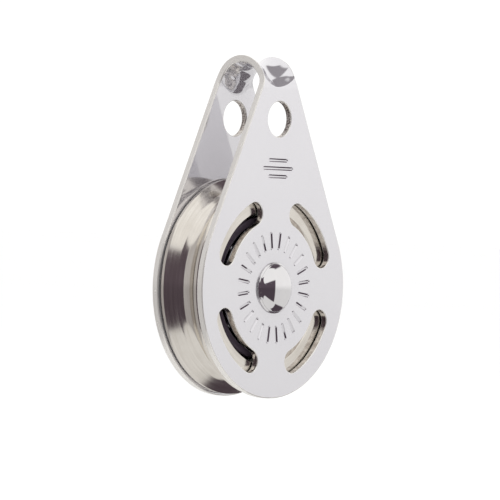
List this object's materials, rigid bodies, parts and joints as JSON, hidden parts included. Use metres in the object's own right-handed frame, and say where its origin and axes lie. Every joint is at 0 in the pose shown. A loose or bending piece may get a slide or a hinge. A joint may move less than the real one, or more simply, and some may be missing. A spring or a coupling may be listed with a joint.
{
  "type": "sheave block",
  "caption": "Small polished stainless rigging block: a grooved sheave on a ball bearing between two slotted teardrop cheeks folded from one strap with a saddle-shaped head eye.",
  "frame": {"origin": "bearing point in the head: the middle of the saddle's underside, where a shackle, pin or lashing carries the block; the axle is 51.5 mm below it", "axes": "+Z from the axle up to the head, +Y along the axle towards the back cheek, +X across the cheeks"},
  "size_m": [0.052, 0.0198, 0.0807],
  "materials": {
    "polished_stainless": "mirror-polished stainless sheet with rounded, tumbled edges",
    "polished_rivet": "mirror-polished domed rivet head",
    "turned_stainless": "fine circular turning lines, bright",
    "bearing_steel": "ground and polished",
    "bearing_balls": "mirror-polished bearing balls",
    "black_acetal": "moulded black acetal, satin"
  },
  "bodies": {
    "block_frame": {"cheek_strap": "polished_stainless", "axle_rivet": "polished_rivet", "inner_race_front": "bearing_steel", "inner_race_back": "bearing_steel", "side_washer_front": "black_acetal", "side_washer_back": "black_acetal"},
    "sheave": {"sheave": "turned_stainless"},
    "ball_row_front": {"ball_cage_front": "black_acetal", "ball_front_01": "bearing_balls", "ball_front_02": "bearing_balls", "ball_front_03": "bearing_balls", "ball_front_04": "bearing_balls", "ball_front_05": "bearing_balls", "ball_front_06": "bearing_balls", "ball_front_07": "bearing_balls", "ball_front_08": "bearing_balls", "ball_front_09": "bearing_balls", "ball_front_10": "bearing_balls", "ball_front_11": "bearing_balls", "ball_front_12": "bearing_balls", "ball_front_13": "bearing_balls", "ball_front_14": "bearing_balls"},
    "ball_row_back": {"ball_cage_back": "black_acetal", "ball_back_01": "bearing_balls", "ball_back_02": "bearing_balls", "ball_back_03": "bearing_balls", "ball_back_04": "bearing_balls", "ball_back_05": "bearing_balls", "ball_back_06": "bearing_balls", "ball_back_07": "bearing_balls", "ball_back_08": "bearing_balls", "ball_back_09": "bearing_balls", "ball_back_10": "bearing_balls", "ball_back_11": "bearing_balls", "ball_back_12": "bearing_balls", "ball_back_13": "bearing_balls", "ball_back_14": "bearing_balls"}
  },
  "joints": [
    {"name": "sheave_spin", "type": "hinge", "parent": "block_frame", "child": "sheave", "pos_m": [0, 0, -0.0515], "axis": [0, 1, 0], "continuous": true},
    {"name": "ball_row_front_orbit", "type": "hinge", "parent": "block_frame", "child": "ball_row_front", "pos_m": [0, -0.0029, -0.0515], "axis": [0, 1, 0], "continuous": true},
    {"name": "ball_row_back_orbit", "type": "hinge", "parent": "block_frame", "child": "ball_row_back", "pos_m": [0, 0.0029, -0.0515], "axis": [0, 1, 0], "continuous": true}
  ],
  "couplings": [
    {"joint": "ball_row_front_orbit", "follows": "sheave_spin", "ratio": 0.55469},
    {"joint": "ball_row_back_orbit", "follows": "sheave_spin", "ratio": 0.55469}
  ]
}
